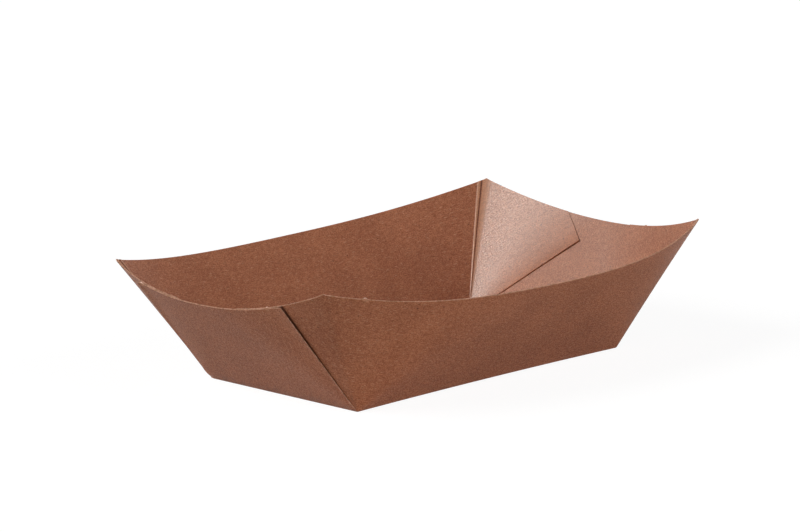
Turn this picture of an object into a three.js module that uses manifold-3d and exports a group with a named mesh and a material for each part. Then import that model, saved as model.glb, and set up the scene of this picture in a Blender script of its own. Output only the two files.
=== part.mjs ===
// Folded paper food tray, one sheet of kraft board
import * as THREE from 'three';
import * as BufferGeometryUtils from 'three/addons/utils/BufferGeometryUtils.js';
import Module from 'manifold-3d';

const wasm = await Module();
wasm.setup();
const DEG = Math.PI / 180;

// Board and base, in millimetres: X runs along the tray, Y across it, Z up from the table
const BOARD = 0.45;
const BASE_LENGTH = 134.0;
const BASE_WIDTH = 86.0;

// Each top corner stands this far outside its base corner, and this high
const CORNER_OUT_X = 29.1;
const CORNER_OUT_Y = 18.3;
const CORNER_HEIGHT = 50.7;

// Walls: lean from upright at mid length, and length from crease to rim there
const LONG_WALL_LEAN = 40.6 * DEG;
const END_WALL_LEAN = 40.3 * DEG;
const LONG_WALL_SLOPE = 54.6;
const END_WALL_SLOPE = 53.6;

// Angle kept flat beyond the line from base corner to the middle of the rim
const FLAT_MARGIN = 0.6 * DEG;

// Corner fold: half of its soft width seen from the base corner, and the score bead inside it
const FOLD_HALF = 2.5 * DEG;
const BEAD_HEIGHT = 0.3;
const BEAD_WIDTH = 1.8;

// End panel: angle of its cut side edges above the end crease
const PANEL_EDGE = 89.0 * DEG;

// Glued corner flap: its tip seen from the base corner, how high above the corner its long edge
// starts, and where its short edge meets the rim
const FLAP_TIP = 48.0 * DEG;
const FLAP_TIP_REACH = 57.4;
const FLAP_EDGE_RISE = 2.6;
const FLAP_RIM = 65.1 * DEG;
const GLUE_BITE = 0.03;

// Cut edges spring away from the glued layer, most at their far end
const PANEL_LIFT = 0.5;
const FLAP_LIFT = 0.35;
const LIFT_RUN = 7.0 * DEG;

// Rounded outside of the four base creases
const CREASE_RADIUS = 0.9;
const CREASE_STEPS = 5;
const PLATE_INSET = 0.15;

// Column counts along the walls
const FLAT_STEPS = 3;
const BEND_STEPS = 14;
const FOLD_STEPS = 10;
const FLAP_STEPS = 12;
const LIFT_STEPS = 5;

const halfLength = BASE_LENGTH / 2;
const halfWidth = BASE_WIDTH / 2;
const panelShift = BOARD / Math.cos(END_WALL_LEAN);
const wallShift = BOARD / Math.cos(LONG_WALL_LEAN);
const flapLength = halfLength - panelShift;

// Corner ray: from the base corner to the top corner
const cornerRay = new THREE.Vector3(CORNER_OUT_X, CORNER_OUT_Y, CORNER_HEIGHT);
const cornerReach = cornerRay.length();
const cornerDirection = cornerRay.clone().normalize();

function mix(parts) {
  const sum = new THREE.Vector3();
  for (const [vector, weight] of parts) {
    sum.addScaledVector(vector, weight);
  }
  return sum;
}

// A wall beside one base corner: flat near its crease, then bent as a cone up to the corner ray
class BentWall {
  constructor(along, upSlope, halfCrease, slope, travel) {
    this.along = along;
    this.upSlope = upSlope;
    this.halfCrease = halfCrease;
    this.travel = travel;
    this.bendStart = Math.atan2(slope, halfCrease) + FLAT_MARGIN;
    const first = this.flatRay(this.bendStart);
    const tangent = this.flatTangent(this.bendStart);
    const toCorner = cornerDirection.clone().sub(first);
    const axis = tangent.clone().cross(toCorner).normalize();
    this.centre = axis.clone().multiplyScalar(first.dot(axis));
    this.spoke = first.clone().sub(this.centre);
    this.radius = this.spoke.length();
    this.side = axis.clone().cross(this.spoke);
    if (this.side.dot(tangent) < 0) {
      this.side.negate();
    }
    const end = cornerDirection.clone().sub(this.centre);
    this.sweep = Math.atan2(end.dot(this.side), end.dot(this.spoke));
    this.fullAngle = this.bendStart + this.radius * this.sweep;
    const tipAcross = halfCrease - cornerReach * Math.cos(this.fullAngle);
    const tipUp = cornerReach * Math.sin(this.fullAngle);
    this.slope = slope;
    this.rimCurve = (tipUp - slope) / (tipAcross * tipAcross);
  }

  flatRay(angle) {
    return mix([[this.along, Math.cos(angle)], [this.upSlope, Math.sin(angle)]]);
  }

  flatTangent(angle) {
    return mix([[this.along, -Math.sin(angle)], [this.upSlope, Math.cos(angle)]]);
  }

  ray(angle) {
    if (angle <= this.bendStart) {
      return this.flatRay(angle);
    }
    const turn = (angle - this.bendStart) / this.radius;
    return mix([[this.centre, 1], [this.spoke, Math.cos(turn)], [this.side, Math.sin(turn)]]);
  }

  // Outward normal of the wall along the ray at this angle
  normal(angle) {
    let tangent = this.flatTangent(angle);
    if (angle > this.bendStart) {
      const turn = (angle - this.bendStart) / this.radius;
      tangent = mix([[this.spoke, -Math.sin(turn)], [this.side, Math.cos(turn)]]);
    }
    return this.ray(angle).cross(tangent).multiplyScalar(this.travel).normalize();
  }

  // Length of the ray up to the rim, a parabola through the middle of the rim and both tips
  rimReach(angle) {
    const square = this.rimCurve * Math.cos(angle) ** 2;
    const linear = 2 * this.rimCurve * this.halfCrease * Math.cos(angle) + Math.sin(angle);
    const constant = this.slope + this.rimCurve * this.halfCrease ** 2;
    return 2 * constant / (linear + Math.sqrt(linear * linear - 4 * square * constant));
  }

  rimHeight(across) {
    return this.slope + this.rimCurve * across * across;
  }
}

const longWall = new BentWall(
  new THREE.Vector3(-1, 0, 0),
  new THREE.Vector3(0, Math.sin(LONG_WALL_LEAN), Math.cos(LONG_WALL_LEAN)),
  flapLength, LONG_WALL_SLOPE, 1);
const endWall = new BentWall(
  new THREE.Vector3(0, -1, 0),
  new THREE.Vector3(Math.sin(END_WALL_LEAN), 0, Math.cos(END_WALL_LEAN)),
  halfWidth, END_WALL_SLOPE, -1);

// One column across the board: feet on the table plane, tops on the rim or a cut edge
function column(outerFoot, innerFoot, outerTop, normal, thickness) {
  const innerTop = outerTop.clone().addScaledVector(normal, -thickness);
  return { outerFoot, innerFoot, outerTop, innerTop };
}

// Closed slab from a row of columns
function slabFrom(columns) {
  const positions = [];
  const quad = (a, b, c, d) => {
    positions.push(...a, ...b, ...c, ...a, ...c, ...d);
  };
  for (let i = 0; i + 1 < columns.length; i += 1) {
    const near = columns[i];
    const next = columns[i + 1];
    quad(near.outerFoot, next.outerFoot, next.outerTop, near.outerTop);
    quad(near.innerTop, next.innerTop, next.innerFoot, near.innerFoot);
    quad(near.outerTop, next.outerTop, next.innerTop, near.innerTop);
    quad(near.innerFoot, next.innerFoot, next.outerFoot, near.outerFoot);
  }
  const first = columns[0];
  const last = columns[columns.length - 1];
  quad(first.outerFoot, first.outerTop, first.innerTop, first.innerFoot);
  quad(last.innerFoot, last.innerTop, last.outerTop, last.outerFoot);
  const geometry = new THREE.BufferGeometry();
  geometry.setAttribute('position', new THREE.Float32BufferAttribute(positions, 3));
  return solidFrom(geometry);
}

// Welds a geometry, drops its empty triangles and turns it outward
function solidFrom(source) {
  const bare = source.clone();
  bare.deleteAttribute('normal');
  bare.deleteAttribute('uv');
  const welded = BufferGeometryUtils.mergeVertices(bare, 1e-4);
  const points = welded.getAttribute('position').array;
  const index = welded.index.array;
  const kept = [];
  let volume = 0;
  for (let i = 0; i < index.length; i += 3) {
    const [a, b, c] = [index[i], index[i + 1], index[i + 2]];
    if (a === b || b === c || c === a) {
      continue;
    }
    kept.push(a, b, c);
    const pa = new THREE.Vector3().fromArray(points, 3 * a);
    const pb = new THREE.Vector3().fromArray(points, 3 * b);
    const pc = new THREE.Vector3().fromArray(points, 3 * c);
    volume += pa.dot(pb.cross(pc));
  }
  if (volume < 0) {
    kept.reverse();
  }
  return new wasm.Manifold(new wasm.Mesh({
    numProp: 3,
    vertProperties: new Float32Array(points),
    triVerts: new Uint32Array(kept),
  }));
}

// Mirrors half a row of columns through X = 0 or Y = 0 and joins both halves
function bothHalves(half, axis) {
  const flip = (point) => {
    const copy = point.clone();
    copy[axis] = -copy[axis];
    return copy;
  };
  const mirrored = half.slice(1).reverse().map((item) => ({
    outerFoot: flip(item.outerFoot),
    innerFoot: flip(item.innerFoot),
    outerTop: flip(item.outerTop),
    innerTop: flip(item.innerTop),
  }));
  return [...mirrored, ...half];
}

function steps(from, to, count) {
  return Array.from({ length: count + 1 }, (_, i) => from + (to - from) * i / count);
}

// Extra board inside the corner fold, a bead left by the score
function beadAt(distance) {
  const reach = Math.abs(distance) / (BEAD_WIDTH / 2);
  if (reach >= 1) {
    return 0;
  }
  return BEAD_HEIGHT * Math.cos(reach * Math.PI / 2) ** 2;
}

// How far a cut edge has sprung, by the angle left between the column and the edge
function springAt(angle, lift) {
  const near = Math.max(0, 1 - angle / LIFT_RUN);
  return lift * near * near;
}

// Column of a corner flap, its foot on the long cut edge and its top on the rim or the short edge
function flapColumn(foot, inside, angle, reach) {
  const normal = endWall.normal(angle);
  const spring = springAt(angle - FLAP_TIP, FLAP_LIFT);
  const top = foot.clone().addScaledVector(endWall.ray(angle), reach).addScaledVector(normal, -spring);
  const whole = column(foot, inside, top, normal, BOARD);
  if (angle >= PANEL_EDGE) {
    return whole;
  }
  const tipAcross = FLAP_TIP_REACH * Math.cos(FLAP_TIP);
  const incline = (FLAP_TIP_REACH * Math.sin(FLAP_TIP) - FLAP_EDGE_RISE) / tipAcross;
  const cut = FLAP_EDGE_RISE / (Math.sin(angle) - incline * Math.cos(angle));
  const share = Math.min(1, cut / reach);
  whole.outerFoot = foot.clone().lerp(whole.outerTop, share);
  whole.innerFoot = inside.clone().lerp(whole.innerTop, share);
  return whole;
}

// Long wall with a glued flap round each end, one unbroken sheet
function longWallColumns() {
  const foot = new THREE.Vector3(flapLength, halfWidth, 0);
  const inside = new THREE.Vector3(flapLength - panelShift, halfWidth - wallShift, 0);
  const columns = [];
  const wallNormal = longWall.normal(0);
  const bendReach = longWall.rimReach(longWall.bendStart);
  const flatEnd = flapLength - bendReach * Math.cos(longWall.bendStart);
  for (const part of steps(0, 1, FLAT_STEPS)) {
    const across = flatEnd * part;
    const rise = longWall.rimHeight(across);
    const top = new THREE.Vector3(across, halfWidth, 0).addScaledVector(longWall.upSlope, rise);
    const outerFoot = new THREE.Vector3(foot.x * part, foot.y, 0);
    const innerFoot = new THREE.Vector3(inside.x * part, inside.y, 0);
    columns.push(column(outerFoot, innerFoot, top, wallNormal, BOARD));
  }
  const beadCentre = longWall.fullAngle - FOLD_HALF;
  for (const angle of steps(longWall.bendStart, longWall.fullAngle - FOLD_HALF, BEND_STEPS).slice(1)) {
    const top = foot.clone().addScaledVector(longWall.ray(angle), longWall.rimReach(angle));
    const bead = beadAt((angle - beadCentre) * cornerReach);
    columns.push(column(foot, inside, top, longWall.normal(angle), BOARD + bead));
  }
  const before = longWall.ray(longWall.fullAngle - FOLD_HALF);
  const after = endWall.ray(endWall.fullAngle - FOLD_HALF);
  for (const t of steps(0, 1, FOLD_STEPS).slice(1)) {
    const blend = mix([[before, (1 - t) ** 2], [cornerDirection, 2 * t * (1 - t)], [after, t * t]]);
    const turn = mix([[before, t - 1], [cornerDirection, 1 - 2 * t], [after, t]]);
    const direction = blend.clone().normalize();
    const normal = blend.clone().cross(turn).normalize();
    const away = Math.abs(1 - 2 * t) * FOLD_HALF;
    const wall = t < 0.5 ? longWall : endWall;
    const top = foot.clone().addScaledVector(direction, wall.rimReach(wall.fullAngle - away));
    const bead = beadAt(2 * t * FOLD_HALF * cornerReach);
    columns.push(column(foot, inside, top, normal, BOARD + bead));
  }
  const upper = steps(endWall.fullAngle - FOLD_HALF, FLAP_RIM, FLAP_STEPS).slice(1);
  for (const angle of upper) {
    columns.push(flapColumn(foot, inside, angle, endWall.rimReach(angle)));
  }
  const rimMeet = endWall.rimReach(FLAP_RIM);
  const tip = new THREE.Vector2(Math.cos(FLAP_TIP), Math.sin(FLAP_TIP)).multiplyScalar(FLAP_TIP_REACH);
  const meet = new THREE.Vector2(Math.cos(FLAP_RIM), Math.sin(FLAP_RIM)).multiplyScalar(rimMeet);
  const run = tip.clone().sub(meet);
  for (const angle of steps(FLAP_RIM, FLAP_TIP, FLAP_STEPS).slice(1)) {
    const cross = run.x * Math.sin(angle) - run.y * Math.cos(angle);
    const reach = (run.x * meet.y - run.y * meet.x) / cross;
    columns.push(flapColumn(foot, inside, angle, reach));
  }
  return bothHalves(columns, 'x');
}

// End panel outside the two flaps, hinged on the end crease
function endPanelColumns() {
  const bite = GLUE_BITE / Math.cos(END_WALL_LEAN);
  const outer = new THREE.Vector3(halfLength, halfWidth, 0);
  const inner = new THREE.Vector3(flapLength - bite, halfWidth, 0);
  const glueFace = new THREE.Vector3(flapLength, halfWidth, 0);
  const columns = [];
  const place = (outerFoot, innerFoot, glueTop, normal, spring) => {
    const outerTop = glueTop.clone().addScaledVector(normal, BOARD + spring);
    columns.push(column(outerFoot, innerFoot, outerTop, normal, BOARD + GLUE_BITE));
  };
  const bendReach = endWall.rimReach(endWall.bendStart);
  const flatEnd = halfWidth - bendReach * Math.cos(endWall.bendStart);
  for (const part of steps(0, 1, FLAT_STEPS)) {
    const across = flatEnd * part;
    const rise = endWall.rimHeight(across);
    const top = new THREE.Vector3(flapLength, across, 0).addScaledVector(endWall.upSlope, rise);
    const outerFoot = new THREE.Vector3(outer.x, outer.y * part, 0);
    const innerFoot = new THREE.Vector3(inner.x, inner.y * part, 0);
    place(outerFoot, innerFoot, top, endWall.normal(0), 0);
  }
  const springStart = PANEL_EDGE - LIFT_RUN;
  const bend = steps(endWall.bendStart, springStart, BEND_STEPS).slice(1);
  const sprung = steps(springStart, PANEL_EDGE, LIFT_STEPS).slice(1);
  for (const angle of [...bend, ...sprung]) {
    const top = glueFace.clone().addScaledVector(endWall.ray(angle), endWall.rimReach(angle));
    place(outer, inner, top, endWall.normal(angle), springAt(PANEL_EDGE - angle, PANEL_LIFT));
  }
  return bothHalves(columns, 'y');
}

// Sliver outside the rounded crease, cut away along the fold line
function creaseCutter(edge, lean, halfRun) {
  const turn = Math.PI / 2 - lean;
  const setback = CREASE_RADIUS * Math.tan(turn / 2);
  const shape = new THREE.Shape();
  shape.moveTo(edge - setback, -BOARD);
  shape.lineTo(edge + BOARD, -BOARD);
  const away = new THREE.Vector2(edge + setback * Math.sin(lean), setback * Math.cos(lean));
  shape.lineTo(away.x + BOARD, away.y);
  for (const angle of steps(turn, 0, CREASE_STEPS)) {
    const x = edge - setback + CREASE_RADIUS * Math.sin(angle);
    shape.lineTo(x, CREASE_RADIUS * (1 - Math.cos(angle)));
  }
  const geometry = new THREE.ExtrudeGeometry(shape, { depth: 2 * halfRun, bevelEnabled: false });
  geometry.translate(0, 0, -halfRun);
  return geometry;
}

// Base sheet, walls and panels joined into one folded body
const plate = new THREE.BoxGeometry(BASE_LENGTH - 2 * PLATE_INSET, BASE_WIDTH - 2 * PLATE_INSET, BOARD);
plate.translate(0, 0, BOARD / 2);
let tray = solidFrom(plate);
const wallSlab = slabFrom(longWallColumns());
const panelSlab = slabFrom(endPanelColumns());
for (const side of [1, -1]) {
  tray = tray.add(wallSlab.scale([1, side, 1]));
}
for (const side of [1, -1]) {
  tray = tray.add(panelSlab.scale([side, 1, 1]));
}

// Creases rounded on the outside
const longCrease = creaseCutter(halfWidth, LONG_WALL_LEAN, flapLength);
longCrease.rotateX(Math.PI / 2);
longCrease.rotateZ(Math.PI / 2);
const endCrease = creaseCutter(halfLength, END_WALL_LEAN, halfWidth);
endCrease.rotateX(Math.PI / 2);
const longCut = solidFrom(longCrease);
const endCut = solidFrom(endCrease);
for (const side of [1, -1]) {
  tray = tray.subtract(longCut.scale([1, side, 1]));
  tray = tray.subtract(endCut.scale([side, 1, 1]));
}

const joined = tray.getMesh();
const geometry = new THREE.BufferGeometry();
geometry.setAttribute('position', new THREE.Float32BufferAttribute(joined.vertProperties, joined.numProp));
geometry.setIndex(new THREE.Uint32BufferAttribute(joined.triVerts, 1));
geometry.computeVertexNormals();

const kraftBoard = new THREE.MeshStandardMaterial({
  color: new THREE.Color(0.62, 0.45, 0.34).convertSRGBToLinear(),
  roughness: 0.82,
  metalness: 0.0,
});
const body = new THREE.Mesh(geometry, kraftBoard);
body.name = 'paper_tray';

const group = new THREE.Group();
group.name = 'paper_food_tray';
group.add(body);

export default group;
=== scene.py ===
# %% [markdown]
# A kraft paper food tray, folded from one die-cut sheet of brown board.
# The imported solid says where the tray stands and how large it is.
# This lesson dresses that solid with a finer sheet. It has soft folds, cut edges that
# spring away from the glue, and a board finish made of fibres, flecks and a faint gloss.

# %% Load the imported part
import bpy
import numpy as np
from mathutils import Matrix


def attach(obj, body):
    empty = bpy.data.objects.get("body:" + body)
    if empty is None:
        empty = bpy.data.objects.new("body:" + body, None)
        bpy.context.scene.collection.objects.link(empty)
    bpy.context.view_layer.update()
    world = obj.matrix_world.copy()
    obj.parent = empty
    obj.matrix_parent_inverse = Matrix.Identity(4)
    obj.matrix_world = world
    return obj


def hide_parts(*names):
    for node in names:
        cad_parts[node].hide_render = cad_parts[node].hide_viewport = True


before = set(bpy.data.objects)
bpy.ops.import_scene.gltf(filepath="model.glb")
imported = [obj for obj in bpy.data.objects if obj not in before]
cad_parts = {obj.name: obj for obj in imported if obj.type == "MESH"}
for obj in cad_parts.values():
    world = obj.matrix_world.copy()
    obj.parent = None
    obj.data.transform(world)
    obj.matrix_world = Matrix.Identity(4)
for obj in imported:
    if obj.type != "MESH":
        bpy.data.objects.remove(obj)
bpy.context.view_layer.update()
TRAY_NODE = "paper_tray"

# %% [markdown]
# The camera looks a little down on one corner of the tray, from the left of its long side.
# A picture can be set up by dragging a camera about, but a view that has to be met again
# is better worked out from turn, tilt and roll, the three numbers that a photographer
# would set on the tripod head.

# %% Where the camera stands
MM = 0.001
VIEW_TURN = np.radians(-40.87)
VIEW_TILT = np.radians(11.58)
VIEW_ROLL = np.radians(-2.462)
VIEW_DISTANCE = 1479.4 * MM
AIM_RIGHT = -6.14 * MM
AIM_UP = 37.81 * MM

toward_camera = np.array([np.sin(VIEW_TURN) * np.cos(VIEW_TILT),
                          -np.cos(VIEW_TURN) * np.cos(VIEW_TILT),
                          np.sin(VIEW_TILT)])
level_right = np.array([np.cos(VIEW_TURN), np.sin(VIEW_TURN), 0.0])
level_up = np.cross(toward_camera, level_right)
camera_right = level_right * np.cos(VIEW_ROLL) + level_up * np.sin(VIEW_ROLL)
camera_up = level_up * np.cos(VIEW_ROLL) - level_right * np.sin(VIEW_ROLL)
camera_place = (camera_right * AIM_RIGHT + camera_up * AIM_UP
                + toward_camera * VIEW_DISTANCE)
print("camera stands at", np.round(camera_place, 3))

# %% [markdown]
# A long lens far away keeps the walls nearly parallel, as in product photographs. The
# helper below puts three directions and a place into one matrix. The lamps use it again
# at the end.

# %% Camera
LENS = 171.0
SENSOR = 36.0


def stand(right, up, back, place):
    """Matrix of an object whose own axes are right, up and back, standing at place."""
    table = np.eye(4)
    for column, direction in enumerate((right, up, back, place)):
        table[:3, column] = direction
    return Matrix(table.tolist())


lens = bpy.data.cameras.new("product_camera")
lens.lens = LENS
lens.sensor_width = SENSOR
camera = bpy.data.objects.new("product_camera", lens)
bpy.context.scene.collection.objects.link(camera)
camera.matrix_world = stand(camera_right, camera_up, toward_camera, camera_place)
bpy.context.scene.camera = camera
print("the lens sees", round(2 * np.degrees(np.arctan(SENSOR / 2 / LENS)), 1), "degrees")

# %% [markdown]
# The tray starts flat. A press cuts and scores the blank: a base, four walls, and a flap
# at each end of each long wall. These are the sizes of that blank and of its folds,
# in millimetres and degrees, the same as in the solid.

# %% Sizes of the blank
BOARD = 0.45
HALF_LENGTH = 67.0
HALF_WIDTH = 43.0
CORNER_RAY = np.array([29.1, 18.3, 50.7])
LONG_LEAN = np.radians(40.6)
END_LEAN = np.radians(40.3)
LONG_SLOPE = 54.6
END_SLOPE = 53.6
FLAT_MARGIN = np.radians(0.6)
FOLD_HALF = np.radians(2.5)
PANEL_EDGE = np.radians(89.0)
FLAP_TIP = np.radians(48.0)
FLAP_TIP_REACH = 57.4
FLAP_EDGE_RISE = 2.6
FLAP_RIM = np.radians(65.1)
corner_reach = float(np.linalg.norm(CORNER_RAY))
corner_direction = CORNER_RAY / corner_reach
print("corner ray is", round(corner_reach, 1), "mm long")

# %% [markdown]
# Board bends, but it doesn't stretch. So each wall is flat near its crease and turns
# into part of a cone towards the corner, with the tip of the cone at the base corner.
# A cloth simulation could find such a shape, but every straight line on the wall runs
# through that base corner, so a formula does it exactly. The class takes an angle above
# the crease and returns the direction of the line there. The rim is a parabola on the
# flat sheet.

# %% A wall that bends as a cone
class BentWall:
    def __init__(self, along, up_slope, half_crease, slope, outward):
        self.along = np.array(along)
        self.up_slope = np.array(up_slope)
        self.half_crease = half_crease
        self.slope = slope
        self.outward = outward
        self.bend_start = np.arctan2(slope, half_crease) + FLAT_MARGIN
        first = self.flat_rays(np.array([self.bend_start]))[0]
        tangent = (self.up_slope * np.cos(self.bend_start)
                   - self.along * np.sin(self.bend_start))
        axis = np.cross(tangent, corner_direction - first)
        axis /= np.linalg.norm(axis)
        self.centre = axis * (first @ axis)
        self.spoke = first - self.centre
        self.radius = np.linalg.norm(self.spoke)
        self.side = np.cross(axis, self.spoke)
        if self.side @ tangent < 0:
            self.side = -self.side
        end = corner_direction - self.centre
        turn = np.arctan2(end @ self.side, end @ self.spoke)
        self.full_angle = self.bend_start + self.radius * turn
        self.tip_across = half_crease - corner_reach * np.cos(self.full_angle)
        tip_up = corner_reach * np.sin(self.full_angle)
        self.rim_curve = (tip_up - slope) / self.tip_across ** 2

    def flat_rays(self, angle):
        return (np.cos(angle)[:, None] * self.along
                + np.sin(angle)[:, None] * self.up_slope)

    def rays(self, angle):
        turn = np.maximum(angle - self.bend_start, 0.0) / self.radius
        bent = (self.centre + np.cos(turn)[:, None] * self.spoke
                + np.sin(turn)[:, None] * self.side)
        flat = (angle <= self.bend_start)[:, None]
        return np.where(flat, self.flat_rays(angle), bent)

    def rim_height(self, across):
        return self.slope + self.rim_curve * across ** 2

    def rim_reach(self, angle):
        """Distance from the base corner to the rim, along the line at this angle."""
        square = self.rim_curve * np.cos(angle) ** 2
        linear = (2 * self.rim_curve * self.half_crease * np.cos(angle)
                  + np.sin(angle))
        constant = self.slope + self.rim_curve * self.half_crease ** 2
        root = np.sqrt(linear ** 2 - 4 * square * constant)
        return 2 * constant / (linear + root)


long_wall = BentWall([-1, 0, 0], [0, np.sin(LONG_LEAN), np.cos(LONG_LEAN)],
                     HALF_LENGTH, LONG_SLOPE, 1)
end_wall = BentWall([0, -1, 0], [np.sin(END_LEAN), 0, np.cos(END_LEAN)],
                    HALF_WIDTH, END_SLOPE, -1)
print("flat angle at the corner:",
      round(np.degrees(long_wall.full_angle), 1), "and",
      round(np.degrees(end_wall.full_angle), 1), "degrees")

# %% [markdown]
# The fold between two walls is a soft one: the score only breaks the board's back, so
# the sheet turns over a few millimetres at the rim and hardly any at the base. A plain
# bevel has the same width all the way, so a short blend between the last straight lines
# of the two walls gives the turn instead.

# %% Soft corner fold
def soft_rays(wall, other, angle):
    """Directions on a wall, with the last degrees blended into the other wall."""
    last = wall.rays(np.array([wall.full_angle - FOLD_HALF]))[0]
    next_one = other.rays(np.array([other.full_angle - FOLD_HALF]))[0]
    into_fold = (angle - wall.full_angle + FOLD_HALF) / (2 * FOLD_HALF)
    share = np.clip(into_fold, 0.0, 0.5)[:, None]
    blend = ((1 - share) ** 2 * last + 2 * share * (1 - share) * corner_direction
             + share ** 2 * next_one)
    blend /= np.linalg.norm(blend, axis=1)[:, None]
    return np.where((into_fold > 0)[:, None], blend, wall.rays(angle))


print("the corner fold is", round(2 * FOLD_HALF * corner_reach, 1), "mm wide at the rim")

# %% [markdown]
# Panels and flaps lie on each other, one board apart, so a point has to be able to stand
# off its wall. Two lines close together on the wall give the direction straight out of it.

# %% Points on a wall
CORNER = np.array([HALF_LENGTH, HALF_WIDTH, 0.0])
LINE_STEP = 1e-4
AT_CORNER = 1e-9
ANY_ANGLE = 0.5


def outward_normals(wall, other, angle):
    before = soft_rays(wall, other, angle - LINE_STEP)
    after = soft_rays(wall, other, np.minimum(angle + LINE_STEP, wall.full_angle))
    normal = np.cross(before, after) * wall.outward
    return normal / np.linalg.norm(normal, axis=1)[:, None]


def on_wall(wall, other, from_corner, up, proud):
    """Points of a wall, given flat distances from its base corner, pushed out by proud."""
    reach = np.hypot(from_corner, up)
    angle = np.arctan2(up, from_corner)
    angle = np.where(reach < AT_CORNER, ANY_ANGLE, angle)
    line = angle.ravel()
    place = CORNER + reach.ravel()[:, None] * soft_rays(wall, other, line)
    place += proud.ravel()[:, None] * outward_normals(wall, other, line)
    return place.reshape(angle.shape + (3,))


out_of_fold = outward_normals(long_wall, end_wall, np.array([long_wall.full_angle]))[0]
print("straight out of the corner fold is", np.round(out_of_fold, 2))

# %% [markdown]
# A quarter of the sheet is laid out as four grids of points: base, long wall, end panel
# and corner flap. The grids share their points along the creases, so the folds shade as
# one sheet. A modifier would add points everywhere; here rows crowd together only near
# creases, folds and cut edges, where the shape turns quickly.

# %% Spacing of the grid lines
NEXT_EVEN_LINE = 0.5
WALL_ROWS = 42
LONG_WALL_COLUMNS = 56
END_PANEL_COLUMNS = 40
LONG_WALL_SPAN = HALF_LENGTH * 1.5
CREASE_LINES = [0.15, 0.35, 0.6, 1.0, 1.6]
RIM_LINES = [0.2, 0.6]
FOLD_LINES = [0.15, 0.35, 0.6, 1.0, 1.3, 1.6, 1.8, 2.0, 2.2, 2.5, 2.8,
              3.1, 3.4, 3.7, 4.0, 4.3, 4.7, 5.5]


def crowded(count, near_start, near_end, length):
    """Even steps from 0 to 1, with extra lines at given distances from the two ends."""
    start = [distance / length for distance in near_start]
    end = [1 - distance / length for distance in near_end]
    low = (start[-1] + NEXT_EVEN_LINE / length) if start else 0.0
    high = (end[-1] - NEXT_EVEN_LINE / length) if end else 1.0
    middle = [share for share in np.linspace(0, 1, count) if low < share < high]
    return np.array(sorted({0.0, 1.0, *start, *end, *middle}))


ROWS = crowded(WALL_ROWS, CREASE_LINES, RIM_LINES, LONG_SLOPE)
LONG_COLUMNS = crowded(LONG_WALL_COLUMNS, [], FOLD_LINES, LONG_WALL_SPAN)
PANEL_COLUMNS = crowded(END_PANEL_COLUMNS, [], CREASE_LINES, HALF_WIDTH)
print(len(ROWS), "rows,", len(LONG_COLUMNS), "columns on half a long wall,",
      len(PANEL_COLUMNS), "on half a panel")

# %% [markdown]
# The base is flat, and the long wall rises from it. Each grid comes with a second one
# that says where every point lies on the flat blank. The fibres are drawn on that one, so
# they run on over the creases as they do in real board.

# %% Base and long wall
def base_grid():
    x, y = np.meshgrid(LONG_COLUMNS * HALF_LENGTH, PANEL_COLUMNS * HALF_WIDTH,
                       indexing="ij")
    return np.stack([x, y, np.zeros_like(x)], -1), np.stack([x, y], -1)


def long_wall_grid():
    column, row = np.meshgrid(LONG_COLUMNS, ROWS, indexing="ij")
    top = long_wall.tip_across * column
    across = column * HALF_LENGTH * (1 - row) + top * row
    up = row * long_wall.rim_height(top)
    place = on_wall(long_wall, end_wall, HALF_LENGTH - across, up, np.zeros_like(up))
    return place, np.stack([across, HALF_WIDTH + up], -1)


quarter = [base_grid(), long_wall_grid()]
print("the long wall's rim reaches", np.round(quarter[1][0][-1, -1], 1), "at its corner")

# %% [markdown]
# The end panels lie outside the flaps, one board higher. Their cut side edges have sprung
# off the flap that they are glued to: not at all at the crease, and by most of a
# millimetre at the rim. Lifting the last degrees of the panel makes a true gap, where a
# painted line alone would look the same in any light. The finish then paints shade on the
# board right beside it, and together they give the dark hairline at each corner.

# %% End panel
PANEL_SPRING = 0.80
SPRING_RUN = np.radians(7.0)
PANEL_RAMP = 5.0
GLUE_LINE = 0.03


def sprung(angle_left, lift):
    """Height above the glued layer, by the angle that is left to the cut edge."""
    return lift * np.clip(1 - angle_left / SPRING_RUN, 0, None) ** 2


def end_panel_grid():
    column, row = np.meshgrid(PANEL_COLUMNS, ROWS, indexing="ij")
    side = end_wall.rim_reach(PANEL_EDGE)
    top = column * (HALF_WIDTH - side * np.cos(PANEL_EDGE))
    across = column * HALF_WIDTH * (1 - row) + top * row
    up = row * end_wall.rim_height(top)
    angle = np.arctan2(up, HALF_WIDTH - across)
    ramp_up = np.clip(up / PANEL_RAMP, 0, 1)
    ramp_up = ramp_up * ramp_up * (3 - 2 * ramp_up)
    spring = sprung(PANEL_EDGE - angle, PANEL_SPRING) * row
    proud = (BOARD + GLUE_LINE) * ramp_up + spring
    place = on_wall(end_wall, long_wall, HALF_WIDTH - across, up, proud)
    return place, np.stack([HALF_LENGTH + up, across], -1)


END_PANEL = len(quarter)
quarter.append(end_panel_grid())
print("the panel's cut edge ends at", np.round(quarter[END_PANEL][0][-1, -1], 1))

# %% [markdown]
# A flap is the end of a long wall that carries on round the corner, inside the end panel.
# It runs as a fan of straight lines from the base corner: close together over the fold,
# at the panel's edge and at the flap's own cut edge, and wider between them. Its outline
# follows the rim, then a short slanting cut, then a long cut back towards the base corner.

# %% Outline of a flap
FOLD_FAN = np.radians([0, 0.3, 0.6, 1.0, 1.4, 1.8, 2.2, 2.6, 3.1, 3.8, 4.6])
SEAM_FAN = np.radians([0.4, 0.0])
SEAM_FAN_START = np.radians(0.6)
EDGE_FAN_START = np.radians(1.0)
# FLAP_SHADE is also how wide the painted shade along the flap's cut edge is.
FLAP_SHADE = np.radians(0.5)
EDGE_FAN = FLAP_SHADE * np.array([1.0, 0.5, 0.0])
SHOWN_LINES = 8
COVERED_LINES = 15
POINT_LINES = 16
SAME_ANGLE = 1e-9


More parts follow.
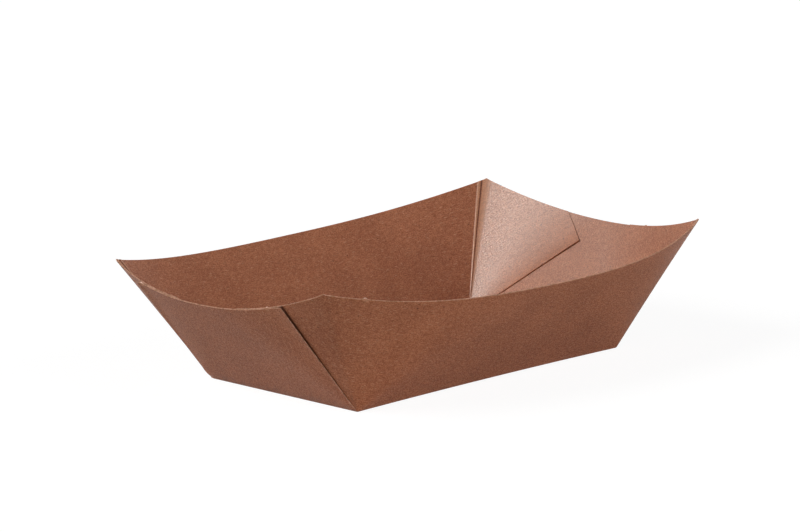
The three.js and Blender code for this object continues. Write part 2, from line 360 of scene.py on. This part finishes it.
def flap_fan():
    """Angles of the flap's lines, from the corner fold down to its long cut edge."""
    fold = end_wall.full_angle - FOLD_FAN
    shown = np.linspace(fold[-1], PANEL_EDGE + SEAM_FAN_START, SHOWN_LINES + 1)[1:]
    seam = PANEL_EDGE + SEAM_FAN
    covered = np.linspace(PANEL_EDGE, FLAP_RIM, COVERED_LINES + 1)[1:]
    point = np.linspace(FLAP_RIM, FLAP_TIP + EDGE_FAN_START, POINT_LINES + 1)[1:]
    return np.concatenate([fold, shown, seam, covered, point, FLAP_TIP + EDGE_FAN])


def flap_outline(angles):
    """Nearest and farthest distance from the base corner on each line of the flap."""
    tip = FLAP_TIP_REACH * np.array([np.cos(FLAP_TIP), np.sin(FLAP_TIP)])
    meet = end_wall.rim_reach(FLAP_RIM) * np.array([np.cos(FLAP_RIM), np.sin(FLAP_RIM)])
    run = tip - meet
    short = ((run[0] * meet[1] - run[1] * meet[0])
             / (run[0] * np.sin(angles) - run[1] * np.cos(angles)))
    far = np.where(angles >= FLAP_RIM - SAME_ANGLE, end_wall.rim_reach(angles), short)
    incline = (tip[1] - FLAP_EDGE_RISE) / tip[0]
    cut = FLAP_EDGE_RISE / (np.sin(angles) - incline * np.cos(angles))
    near = np.where(angles > PANEL_EDGE - SAME_ANGLE, 0.0, np.minimum(cut, far))
    return near, far


print("a flap has", len(flap_fan()), "lines from the corner fold to its cut edge")

# %% [markdown]
# The flap's long edge has sprung inwards a little, as the panel's edge has outwards. On
# the flat blank the flap stands beside the long wall, so its places there are found by
# turning each line back round the base corner.

# %% Corner flap
FLAP_SPRING = 0.32


def flap_grid():
    angles = flap_fan()
    near, far = flap_outline(angles)
    reach = near[:, None] + (far - near)[:, None] * ROWS
    angle = np.repeat(angles[:, None], len(ROWS), 1)
    from_corner = reach * np.cos(angle)
    up = reach * np.sin(angle)
    spring = sprung(angle - FLAP_TIP, FLAP_SPRING) * reach / FLAP_TIP_REACH
    place = on_wall(end_wall, long_wall, from_corner, up, -spring)
    turned = long_wall.full_angle + end_wall.full_angle - angle
    flat = np.stack([HALF_LENGTH - reach * np.cos(turned),
                     HALF_WIDTH + reach * np.sin(turned)], -1)
    return place, flat


quarter.append(flap_grid())
print("points in a quarter:", sum(place.shape[0] * place.shape[1] for place, _ in quarter))

# %% [markdown]
# Four mirrored quarters make the whole sheet. Points that fall on the same spot are
# welded. A panel lies over its flaps without touching them, so they share only the base
# corner. A mirror modifier could do it, but it would also mirror the fibres on the blank.
# A mirrored face has to be turned round, and the panels' grid runs the other way.

# %% Weld the quarters into one sheet
WELD = 1e-3
points, blank, faces = [], [], []
lookup = {}


def add_point(place, flat):
    key = tuple(np.round(place / WELD).astype(int))
    if key not in lookup:
        lookup[key] = len(points)
        points.append(place)
        blank.append(flat)
    return lookup[key]


def add_faces(ids, keep_side):
    for i in range(ids.shape[0] - 1):
        for j in range(ids.shape[1] - 1):
            loop = [ids[i, j], ids[i, j + 1], ids[i + 1, j + 1], ids[i + 1, j]]
            loop = list(dict.fromkeys(loop))
            if len(loop) > 2:
                faces.append(loop if keep_side else loop[::-1])


for sign_x in (1, -1):
    for sign_y in (1, -1):
        flip = np.array([sign_x, sign_y, 1])
        for number, (place, flat) in enumerate(quarter):
            ids = np.array([[add_point(place[i, j] * flip, flat[i, j] * flip[:2])
                             for j in range(place.shape[1])] for i in range(place.shape[0])])
            add_faces(ids, (sign_x * sign_y > 0) == (number != END_PANEL))
points = np.array(points)
blank = np.array(blank)
print(len(points), "points and", len(faces), "faces on the outside of the sheet")

# %% [markdown]
# While it is made, the sheet is held in its frame of waste board by a few uncut nicks.
# When it is pressed out they tear and leave small pale burrs on the rims. They are too few
# for a pattern, so their places on the blank are a list, and each lifts the rim a little.

# %% Burrs on the rims
NICK_HEIGHT = 0.6
NICK_SPREAD = 0.9
NICKS = [(-122.0, -34.5), (-82.7, -96.2), (121.4, -26.9), (-122.4, 40.2)]


def nick_weights(flat):
    """1 at the rim point nearest to each nick, falling to almost 0 two millimetres away."""
    total = np.zeros(len(flat))
    for x, y in NICKS:
        rim_point = flat[np.argmin(np.hypot(flat[:, 0] - x, flat[:, 1] - y))]
        off = np.hypot(*(flat - rim_point).T)
        total += np.exp(-(off / NICK_SPREAD) ** 2)
    return total


points[:, 2] += NICK_HEIGHT * nick_weights(blank)
print(len(NICKS), "burrs of", NICK_HEIGHT, "mm")

# %% [markdown]
# A score leaves a small round-over at each base crease. A bevel modifier would round the
# cut edges as well, so only the points within a millimetre of a crease are eased.

# %% Ease the base creases
ROUND_RUN = 0.7
ROUND_DEPTH = 0.12
ROUND_REACH = 1.2 * ROUND_RUN


def eased_creases(place):
    out = place.copy()
    for axis, half, lean in ((1, HALF_WIDTH, LONG_LEAN), (0, HALF_LENGTH, END_LEAN)):
        beside = np.abs(place[:, axis]) - half
        slope = np.where(beside > 0, place[:, 2] / np.cos(lean), -beside)
        near = np.clip(1 - slope / ROUND_RUN, 0, 1) ** 2
        near *= np.abs(beside) < ROUND_REACH
        turn = (np.pi / 2 - lean) / 2
        out[:, axis] -= np.sign(place[:, axis]) * near * ROUND_DEPTH * np.sin(turn)
        out[:, 2] += near * ROUND_DEPTH * np.cos(turn)
    return out


points = eased_creases(points)
print("creases rounded by", ROUND_DEPTH, "mm")

# %% [markdown]
# A sheet that was folded by hand never stands perfectly true. This one is twisted by about
# a millimetre, and each tip is pushed by up to six tenths in any one direction. The back
# rim sags in its middle, the far end waves a little, and the base domes by half a
# millimetre. A lattice could bend it so, but these few terms say plainly what was done.
# All but the dome grow from nothing at the base, and have the sizes below at the height
# of the tips.

# %% Handling
DOME = 0.5
DOME_TOP = 25.0
TWIST = 1.2
BACK_SAG = 0.85
END_WAVE = 0.5
TIP_PUSHES = [(-1, 1, np.array([-0.40, 0.30, -0.20])),
              (1, -1, np.array([0.33, -0.46, -0.64])),
              (-1, -1, np.array([0.0, 0.0, -0.25])),
              (1, 1, np.array([0.32, -0.32, -0.15]))]


def handled(place):
    out = place.copy()
    height = np.clip(place[:, 2] / CORNER_RAY[2], 0, 1)
    along = place[:, 0] / (HALF_LENGTH + CORNER_RAY[0])
    beside = place[:, 1] / (HALF_WIDTH + CORNER_RAY[1])
    out[:, 2] += TWIST * along * beside * height
    rise = height ** 1.5
    along, beside = np.clip(along, -1, 1), np.clip(beside, -1, 1)
    for sign_x, sign_y, push in TIP_PUSHES:
        near = ((1 + sign_x * along) * (1 + sign_y * beside) / 4) ** 2
        out += (near * rise)[:, None] * push
    out[:, 2] -= BACK_SAG * (1 - along * along) * np.clip(beside, 0, 1) * rise
    out[:, 2] += END_WAVE * np.sin(np.pi * beside) * np.clip(along, 0, 1) * rise
    dome = 1 - np.clip(np.abs(place[:, 0]) / HALF_LENGTH, 0, 1) ** 2
    out[:, 2] += DOME * dome * np.clip(1 - place[:, 2] / DOME_TOP, 0, 1) ** 2
    return out


points = handled(points)
print("highest point", round(points[:, 2].max(), 2), "mm")

# %% [markdown]
# Board has two faces. The inner one is the outer one moved in along the normals. At a fold
# the normal of a point leans away from the faces round it, so the same step would leave
# the sheet thin there. This cell measures that lean, so that the step can make up for it.

# %% Normals of the outer face
THINNEST = 0.75

sheet = bpy.data.meshes.new("outer_face")
sheet.from_pydata([tuple(point) for point in points], [], faces)
sheet.update()
normals = np.zeros(len(points) * 3)
sheet.vertices.foreach_get("normal", normals)
normals = normals.reshape(-1, 3)
face_normals = np.zeros(len(faces) * 3)
sheet.polygons.foreach_get("normal", face_normals)
face_normals = face_normals.reshape(-1, 3)

lean_sum = np.zeros(len(points))
lean_count = np.zeros(len(points))
for loop, normal in zip(faces, face_normals):
    for vertex in loop:
        lean_sum[vertex] += normals[vertex] @ normal
        lean_count[vertex] += 1
evenness = np.clip(lean_sum / np.maximum(lean_count, 1), THINNEST, 1.0)
print("deepest step is", round(BOARD / evenness.min(), 2), "mm for a board of", BOARD)

# %% [markdown]
# Inside each corner fold the score leaves two marks. It raises a low bead on the long
# wall's side, and it crushes the inside of the fold into one narrow strip. Both get
# narrower towards the base corner, because they are lines of the same fan. They are made
# as extra depth, so they take the light as real ones do.

# %% Marks of the score
BEAD_HEIGHT = 0.26
BEAD_HALF_WIDTH = 1.0
BEAD_ANGLE = 2.6
BEAD_RUN_IN = 12.0
STRIP_START = -1.9
STRIP_END = 2.2
STRIP_DEPTH = 0.05


def beside_fold(flat):
    """Degrees past the corner fold, and distance from the base corner where there is a wall."""
    from_corner = HALF_LENGTH - np.abs(flat[:, 0])
    up = np.abs(flat[:, 1]) - HALF_WIDTH
    past_fold = np.degrees(np.arctan2(up, from_corner) - long_wall.full_angle)
    return past_fold, np.where(up > 0, np.hypot(from_corner, up), 0.0)


def bead_height(flat):
    past_fold, reach = beside_fold(flat)
    off_bead = (past_fold + BEAD_ANGLE) / BEAD_HALF_WIDTH
    return (BEAD_HEIGHT * np.sqrt(np.clip(1 - off_bead ** 2, 0, 1))
            * np.clip(reach / BEAD_RUN_IN, 0, 1))


def fold_filling(flat):
    past_fold, reach = beside_fold(flat)
    across = np.clip((past_fold - STRIP_START) / (STRIP_END - STRIP_START), 0, 1)
    return STRIP_DEPTH * 4 * across * (1 - across) * reach / corner_reach


depth = BOARD / evenness + bead_height(blank) + fold_filling(blank)
print("the sheet is", round(depth.min(), 2), "to", round(depth.max(), 2), "mm deep")

# %% [markdown]
# The two faces are joined along every open edge by a strip of its own, which will show
# the pulp. An open edge is one that only a single face uses. A solidify modifier makes
# the same three parts, but here each point has a depth of its own, and the finish has to
# know later which face a point is on.

# %% Two faces and the cut edges
inner = points - normals * depth[:, None]
edge_users = {}
for loop in faces:
    for a, b in zip(loop, loop[1:] + loop[:1]):
        edge_users.setdefault((min(a, b), max(a, b)), []).append((a, b))
count = len(points)
all_points = np.concatenate([points, inner])
all_faces = list(faces) + [[vertex + count for vertex in loop[::-1]] for loop in faces]
edge_start = len(all_faces)
for users in edge_users.values():
    if len(users) == 1:
        a, b = users[0]
        all_faces.append([b, a, a + count, b + count])
print(len(all_faces), "faces,", len(all_faces) - edge_start, "of them on cut edges")

# %% [markdown]
# Now the sheet becomes a mesh. Its faces shade smoothly, except where the cut edge meets
# them at a right angle. Its place on the blank goes in as a texture map, so that
# the finish can be drawn on the flat sheet and still fit the folded one.

# %% Make the mesh
BLANK_SPAN = 260.0
SHARP_TURN = np.radians(50)
FACE_FINISH, EDGE_FINISH = 0, 1

tray_mesh = bpy.data.meshes.new("folded_sheet")
tray_mesh.from_pydata([tuple(point) for point in all_points * MM], [], all_faces)
tray_mesh.update()
loop_points = np.zeros(len(tray_mesh.loops), dtype=np.int32)
tray_mesh.loops.foreach_get("vertex_index", loop_points)
flat_places = np.concatenate([blank, blank])[loop_points]
blank_layer = tray_mesh.uv_layers.new(name="blank")
blank_layer.uv.foreach_set("vector", (flat_places / BLANK_SPAN + 0.5).ravel())
finishes = np.full(len(all_faces), FACE_FINISH, dtype=np.int32)
finishes[edge_start:] = EDGE_FINISH
tray_mesh.polygons.foreach_set("material_index", finishes)
tray_mesh.polygons.foreach_set("use_smooth", [True] * len(all_faces))
tray_mesh.set_sharp_from_angle(angle=SHARP_TURN)
print("the mesh has", len(tray_mesh.vertices), "points")

# %% [markdown]
# The score and the knife also change the colour of the board, and light and shade are
# painted on with it. Crushed pulp is paler, partly as painted light, torn burrs are palest,
# and the bead's crown gets a painted highlight. A hairline of painted shade lies beside the
# bead, beside each panel's cut edge and along each flap's. A painted image would do, but
# one number for each point is enough: above 0 is pale, below 0 is painted shade, and 2 is
# a burr.

# %% Pale marks, painted highlights and painted shade
# Across the fold: a painted highlight on the bead, painted shade beside it, then the crushed
# strip, paler partly as painted light.
MARK_AND_LIGHT_DEGREES = [-3.9, -3.4, -2.4, -2.15, -1.75, -1.5, 1.6, 2.6]
MARK_AND_LIGHT_VALUES = [0, 1, 0.9, -1, -1, 0.8, 0.7, 0]
SEAM_SHADE_DEGREES = [-0.6, -0.4, 1.0, 2.0]
SEAM_SHADE_VALUES = [0, -1, -1, 0]
BURR_MARK = 2


def inner_marks_and_painted_light(flat):
    """Pale on the bead's crown as a painted highlight, and where the score has crushed the
    inner face, partly as painted light; -1 as painted shade beside the bead and on the
    flap's cut edge.
    """
    past_fold, reach = beside_fold(flat)
    # Painted shade along the flap's cut edge, where it has sprung off the panel.
    to_cut = np.degrees(end_wall.full_angle - FLAP_TIP) - past_fold
    cut = np.interp(to_cut, [0.0, np.degrees(FLAP_SHADE)], [-1, 0])
    return (np.interp(past_fold, MARK_AND_LIGHT_DEGREES, MARK_AND_LIGHT_VALUES) + cut) * (reach > 0)


def outer_painted_shade(flat):
    """-1 as painted shade on the outer face right beside the cut side edge of each end panel.
    """
    past_fold, reach = beside_fold(flat)
    past_seam = past_fold - np.degrees(end_wall.full_angle - PANEL_EDGE)
    return np.interp(past_seam, SEAM_SHADE_DEGREES, SEAM_SHADE_VALUES) * (reach > 0)


marks = np.concatenate([outer_painted_shade(blank), inner_marks_and_painted_light(blank)])
marks += np.tile(BURR_MARK * nick_weights(blank), 2)
mark_and_shade_layer = tray_mesh.attributes.new("fold_marks_and_painted_shade", "FLOAT", "POINT")
mark_and_shade_layer.data.foreach_set("value", marks)
print((marks > 0).sum(), "points are paler and", (marks < 0).sum(), "are darker")

# %% [markdown]
# The finished sheet takes the place of the imported solid. It rides on the body that the
# solid is on.

# %% Put the sheet in the solid's place
tray = bpy.data.objects.new("folded_sheet", tray_mesh)
bpy.context.scene.collection.objects.link(tray)
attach(tray, "root")
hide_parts(TRAY_NODE)
print("folded sheet measures", [round(side / MM, 1) for side in tray.dimensions], "mm")

# %% [markdown]
# A finish is built from a few kinds of node: a noise, a ramp that picks part of it, and a
# mix of two colours. They could be placed by hand in the shader editor, but one short
# function for each keeps the recipes below easy to read. Colours are written as they look
# on a screen and are turned into the linear values that a shader works in.

# %% Helpers for the finish
def paint(red, green, blue):
    """Colour as written on a screen, 0 to 255, turned into the shader's linear values."""
    screen = np.array([red, green, blue]) / 255.0
    linear = np.where(screen <= 0.04045, screen / 12.92, ((screen + 0.055) / 1.055) ** 2.4)
    return (*linear.tolist(), 1.0)


def new_material(name):
    material = bpy.data.materials.new(name)
    material.use_nodes = True
    nodes = material.node_tree.nodes
    return material, nodes, material.node_tree.links, nodes["Principled BSDF"]


def noise(nodes, links, vector, scale, detail, roughness):
    node = nodes.new("ShaderNodeTexNoise")
    node.inputs["Scale"].default_value = scale
    node.inputs["Detail"].default_value = detail
    node.inputs["Roughness"].default_value = roughness
    links.new(vector, node.inputs["Vector"])
    return node.outputs["Fac"]


def stretched(nodes, links, vector, turn, along, beside):
    """Places turned and squeezed, so that a noise drawn on them comes out as short lines."""
    node = nodes.new("ShaderNodeMapping")
    node.inputs["Rotation"].default_value = (0, 0, turn)
    node.inputs["Scale"].default_value = (along, beside, 1)
    links.new(vector, node.inputs["Vector"])
    return node.outputs["Vector"]


def ramp(nodes, links, value, low, high, low_value=0.0, high_value=1.0):
    node = nodes.new("ShaderNodeMapRange")
    node.interpolation_type = "SMOOTHSTEP"
    node.inputs["From Min"].default_value = low
    node.inputs["From Max"].default_value = high
    node.inputs["To Min"].default_value = low_value
    node.inputs["To Max"].default_value = high_value
    links.new(value, node.inputs["Value"])
    return node.outputs["Result"]


print("mid grey is", round(paint(128, 128, 128)[0], 3), "in linear light")

# %% [markdown]
# The other helpers join values. Sockets of a mix or sum take either a link or a plain
# value, so the functions accept both.

# %% Helpers that join values
COLOUR_A, COLOUR_B, COLOUR_OUT = 6, 7, 2


def feed(links, socket, value):
    if isinstance(value, (int, float, tuple)):
        socket.default_value = value
    else:
        links.new(value, socket)


def mixed(nodes, links, amount, first, second):
    node = nodes.new("ShaderNodeMix")
    node.data_type = "RGBA"
    links.new(amount, node.inputs["Factor"])
    feed(links, node.inputs[COLOUR_A], first)
    feed(links, node.inputs[COLOUR_B], second)
    return node.outputs[COLOUR_OUT]


def joined(nodes, links, first, second, operation):
    node = nodes.new("ShaderNodeMath")
    node.operation = operation
    feed(links, node.inputs[0], first)
    feed(links, node.inputs[1], second)
    return node.outputs[0]


def weighted(nodes, links, terms):
    """Sum of noises, each times its own weight."""
    total = 0.0
    for value, weight in terms:
        share = joined(nodes, links, value, weight, "MULTIPLY")
        total = joined(nodes, links, share, total, "ADD")
    return total


def roughened(nodes, links, shader, height, strength, distance):
    bump = nodes.new("ShaderNodeBump")
    bump.inputs["Strength"].default_value = strength
    bump.inputs["Distance"].default_value = distance
    links.new(height, bump.inputs["Height"])
    links.new(bump.outputs["Normal"], shader.inputs["Normal"])


print("a mixed colour comes out of socket", COLOUR_OUT)

# %% [markdown]
# Kraft board is pressed wood pulp. Close up it has clouds where the pulp settled, a
# mottle of one or two millimetres, a grain of single fibres, and longer fibres that lie
# across each other. A scan of real board would repeat, so each of these is a noise with a
# scale, a detail and a roughness. They are drawn on the flat blank, where nothing
# stretches at the folds.

# %% Noises of the pulp
CLOUD = (16.0, 3.0, 0.5)
MOTTLE = (150.0, 3.0, 0.6)
GRAIN = (470.0, 2.0, 0.7)
SPECKS = (190.0, 1.0, 0.5)
FIBRE = (1.0, 2.0, 0.5)
FIBRES_ONE_WAY = (0.5, 110.0, 700.0)
FIBRES_OTHER_WAY = (-0.9, 120.0, 640.0)

face, nodes, links, shader = new_material("kraft_face")
blank_map = nodes.new("ShaderNodeUVMap")
blank_map.uv_map = "blank"
on_blank = blank_map.outputs["UV"]
cloud = noise(nodes, links, on_blank, *CLOUD)
mottle = noise(nodes, links, on_blank, *MOTTLE)
grain = noise(nodes, links, on_blank, *GRAIN)
specks = noise(nodes, links, on_blank, *SPECKS)
pale_fibres = noise(nodes, links, stretched(nodes, links, on_blank, *FIBRES_ONE_WAY), *FIBRE)
dark_fibres = noise(nodes, links, stretched(nodes, links, on_blank, *FIBRES_OTHER_WAY), *FIBRE)
print("the grain is about", round(BLANK_SPAN / GRAIN[0], 2), "mm wide")

# %% [markdown]
# The brown is laid on in layers, as the eye finds them: first the tone of the pulp,
# between a deep and a pale brown, then pale fibres, dark fibres and a few specks. The
# marks of score and knife come last, because they lie over all of it, together with the
# painted highlight on the bead and the painted shade beside the bead and the cut edges.
# Each ramp says where its layer begins, where it is full, and how much of it then shows.

# %% Browns of the face, with painted highlight and shade
KRAFT_PALE = paint(184, 118, 84)
KRAFT_DEEP = paint(136, 79, 53)
FIBRE_PALE = paint(206, 156, 122)
FIBRE_DEEP = paint(112, 68, 46)
SPECK_AND_SHADE = paint(82, 48, 34)
STRIP_AND_HIGHLIGHT_PALE = paint(222, 172, 136)
CLOUD_SHARE, MOTTLE_SHARE, GRAIN_SHARE = 0.25, 0.55, 1.35
TONE_RANGE = (0.82, 1.33)
PALE_FIBRE_RANGE = (0.60, 0.70, 0.0, 0.60)
DARK_FIBRE_RANGE = (0.58, 0.72, 0.0, 0.45)
SPECK_RANGE = (0.72, 0.78, 0.0, 0.80)
CRUSHED_AND_HIGHLIGHT_RANGE = (0.0, 1.0, 0.0, 0.34)
PAINTED_SHADE_RANGE = (0.0, -1.0, 0.0, 0.85)
BURR_RANGE = (1.1, 2.0, 0.0, 0.6)

tone = weighted(nodes, links, [(cloud, CLOUD_SHARE), (mottle, MOTTLE_SHARE),
                               (grain, GRAIN_SHARE)])
brown = mixed(nodes, links, ramp(nodes, links, tone, *TONE_RANGE), KRAFT_DEEP, KRAFT_PALE)
mark_node = nodes.new("ShaderNodeAttribute")
mark_node.attribute_name = "fold_marks_and_painted_shade"
mark_and_shade = mark_node.outputs["Fac"]
# The last three layers paint the paler crushed strip with the bead's painted highlight, the
# hairlines of painted shade, and the pale burrs.
for value, limits, colour in ((pale_fibres, PALE_FIBRE_RANGE, FIBRE_PALE),
                              (dark_fibres, DARK_FIBRE_RANGE, FIBRE_DEEP),
                              (specks, SPECK_RANGE, SPECK_AND_SHADE),
                              (mark_and_shade, CRUSHED_AND_HIGHLIGHT_RANGE, STRIP_AND_HIGHLIGHT_PALE),
                              (mark_and_shade, PAINTED_SHADE_RANGE, SPECK_AND_SHADE),
                              (mark_and_shade, BURR_RANGE, FIBRE_PALE)):
    brown = mixed(nodes, links, ramp(nodes, links, value, *limits), brown, colour)
links.new(brown, shader.inputs["Base Color"])
print("the browns take", len(nodes), "nodes")

# %% [markdown]
# The board has been rolled, so it is a little glossy, and more so on the tops of its
# grain. That is why a wall that faces the window sparkles instead of shining evenly. The
# grain drives the roughness for this, and a shallow relief breaks the gloss up further.

# %% Gloss and relief of the face
SPECULAR = 0.15
SHEEN = 0.03
SHEEN_ROUGHNESS = 0.4
GRAIN_GLOSS = (0.35, 0.65, 0.54, 0.36)
MOTTLE_RELIEF, GRAIN_RELIEF, FIBRE_RELIEF = 0.4, 1.0, 0.3
RELIEF_STRENGTH = 1.0
RELIEF_DISTANCE = 0.10 * MM

shader.inputs["Specular IOR Level"].default_value = SPECULAR
shader.inputs["Sheen Weight"].default_value = SHEEN
shader.inputs["Sheen Roughness"].default_value = SHEEN_ROUGHNESS
links.new(ramp(nodes, links, grain, *GRAIN_GLOSS), shader.inputs["Roughness"])
relief = weighted(nodes, links, [(mottle, MOTTLE_RELIEF), (grain, GRAIN_RELIEF),
                                 (pale_fibres, FIBRE_RELIEF)])
roughened(nodes, links, shader, relief, RELIEF_STRENGTH, RELIEF_DISTANCE)
tray_mesh.materials.append(face)
print("kraft face has", len(nodes), "nodes")

# %% [markdown]
# The knife leaves the edge rough and paler than the faces, because the pulp inside was
# never pressed smooth. It has no gloss at all. Where a nick was torn the fibres stand up
# and look almost white. The edge has no place of its own on the blank, so its noise is
# drawn in space.

# %% Cut edge
EDGE_PALE = paint(208, 160, 136)
EDGE_DEEP = paint(168, 124, 96)
TORN_PALE = paint(250, 216, 194)
PULP = (900.0, 3.0, 0.6)
PULP_RANGE = (0.35, 0.65)
TORN_RANGE = (1.0, 2.0)
EDGE_ROUGHNESS = 0.85
EDGE_STRENGTH = 0.5
EDGE_DISTANCE = 0.08 * MM

edge, nodes, links, shader = new_material("cut_edge")
in_space = nodes.new("ShaderNodeTexCoord").outputs["Object"]
pulp = noise(nodes, links, in_space, *PULP)
cut_pulp = mixed(nodes, links, ramp(nodes, links, pulp, *PULP_RANGE), EDGE_DEEP, EDGE_PALE)
mark_node = nodes.new("ShaderNodeAttribute")
mark_node.attribute_name = "fold_marks_and_painted_shade"
torn = ramp(nodes, links, mark_node.outputs["Fac"], *TORN_RANGE)
links.new(mixed(nodes, links, torn, cut_pulp, TORN_PALE), shader.inputs["Base Color"])
shader.inputs["Roughness"].default_value = EDGE_ROUGHNESS
shader.inputs["Specular IOR Level"].default_value = 0.0
roughened(nodes, links, shader, pulp, EDGE_STRENGTH, EDGE_DISTANCE)
tray_mesh.materials.append(edge)
print("cut edge has", len(nodes), "nodes")

# %% [markdown]
# The tray stands on a plain pale floor in front of white. To get a white floor, lamps
# could be turned up until it clips, but that would bleach the tray. Instead the floor
# glows nearly white, with a light that only the camera, glass and, weakly, the gloss can
# see. To the tray it is a pale grey board that throws soft light up, and it still takes
# a shadow.

# %% Floor
FLOOR_BOUNCE = 0.74
FLOOR_SEEN = 0.16
FLOOR_GLOW = 0.92
FLOOR_IN_GLOSS = 0.2
FLOOR_HALF = 12.0
FLOOR_ROUGHNESS = 0.9
WHITE = (1, 1, 1, 1)


def seen_directly(nodes, links, in_gloss):
    """1 for camera and transmission rays, which see the white background, and
    in_gloss for glossy rays."""
    path = nodes.new("ShaderNodeLightPath")
    gloss = joined(nodes, links, path.outputs["Is Glossy Ray"], in_gloss, "MULTIPLY")
    either = joined(nodes, links, path.outputs["Is Camera Ray"], gloss, "MAXIMUM")
    return joined(nodes, links, either, path.outputs["Is Transmission Ray"], "MAXIMUM")


floor_mesh = bpy.data.meshes.new("pale_floor")
floor_mesh.from_pydata([(x * FLOOR_HALF, y * FLOOR_HALF, 0.0)
                        for x, y in ((-1, -1), (1, -1), (1, 1), (-1, 1))], [], [(0, 1, 2, 3)])
floor = bpy.data.objects.new("pale_floor", floor_mesh)
bpy.context.scene.collection.objects.link(floor)
floor_paint, nodes, links, shader = new_material("pale_floor")
seen = seen_directly(nodes, links, FLOOR_IN_GLOSS)
links.new(mixed(nodes, links, seen, (FLOOR_BOUNCE,) * 3 + (1,), (FLOOR_SEEN,) * 3 + (1,)),
          shader.inputs["Base Color"])
shader.inputs["Roughness"].default_value = FLOOR_ROUGHNESS
shader.inputs["Specular IOR Level"].default_value = 0.0
shader.inputs["Emission Color"].default_value = WHITE
links.new(joined(nodes, links, seen, FLOOR_GLOW, "MULTIPLY"),
          shader.inputs["Emission Strength"])
floor_mesh.materials.append(floor_paint)
print("the floor is", 2 * FLOOR_HALF, "m wide")

# %% [markdown]
# Behind the tray the world is white to the camera, to glass and to gloss. Everything else
# gets only a tenth of it, as a faint even light that keeps the shadows open.

# %% White room
WORLD_STRENGTH = 0.10

world = bpy.data.worlds.new("white_room")
bpy.context.scene.world = world
world.use_nodes = True
nodes, links = world.node_tree.nodes, world.node_tree.links
backdrop = nodes["Background"]
backdrop.inputs["Color"].default_value = WHITE
strength = ramp(nodes, links, seen_directly(nodes, links, 1.0), 0.0, 1.0,
                WORLD_STRENGTH, 1.0)
links.new(strength, backdrop.inputs["Strength"])
bpy.context.scene.view_settings.view_transform = "Standard"
print("the room gives", WORLD_STRENGTH, "of white as even light")

# %% [markdown]
# Three wide suns light the tray. The first is the window: high, behind and to the left, so
# it falls on the inside of the far end panel. The second is the bright room on the camera's
# side, low and very soft, and it shows the outer walls. The third only makes gloss. Real
# board throws back more of a window at low angles than this plain finish does, and the
# third sun adds that gleam without making the brown any paler.

# %% Light
KEY_STRENGTH = 2.08
KEY_SOFTNESS = np.radians(40)
KEY_FROM = np.array([-0.72, 0.38, 0.58])
FILL_STRENGTH = 2.3
FILL_SOFTNESS = np.radians(60)
FILL_FROM = np.array([0.35, -0.90, 0.14])
GLEAM_STRENGTH = 14.0
GLEAM_SOFTNESS = np.radians(25)
GLEAM_FROM = np.array([-0.65, 0.28, 0.70])
GLEAM_COLOUR = (1.0, 0.985, 0.92)


def sun(name, strength, softness, toward):
    lamp = bpy.data.lights.new(name, "SUN")
    lamp.energy = strength
    lamp.angle = softness
    holder = bpy.data.objects.new(name, lamp)
    bpy.context.scene.collection.objects.link(holder)
    back = toward / np.linalg.norm(toward)
    side = np.cross([0, 0, 1.0], back)
    side /= np.linalg.norm(side)
    holder.matrix_world = stand(side, np.cross(back, side), back, np.zeros(3))
    print(name, "comes from", np.round(back, 2))
    return holder


sun("window_light", KEY_STRENGTH, KEY_SOFTNESS, KEY_FROM)
sun("room_fill", FILL_STRENGTH, FILL_SOFTNESS, FILL_FROM)
gleam = sun("window_gleam", GLEAM_STRENGTH, GLEAM_SOFTNESS, GLEAM_FROM)
gleam.visible_diffuse = False
gleam.data.color = GLEAM_COLOUR
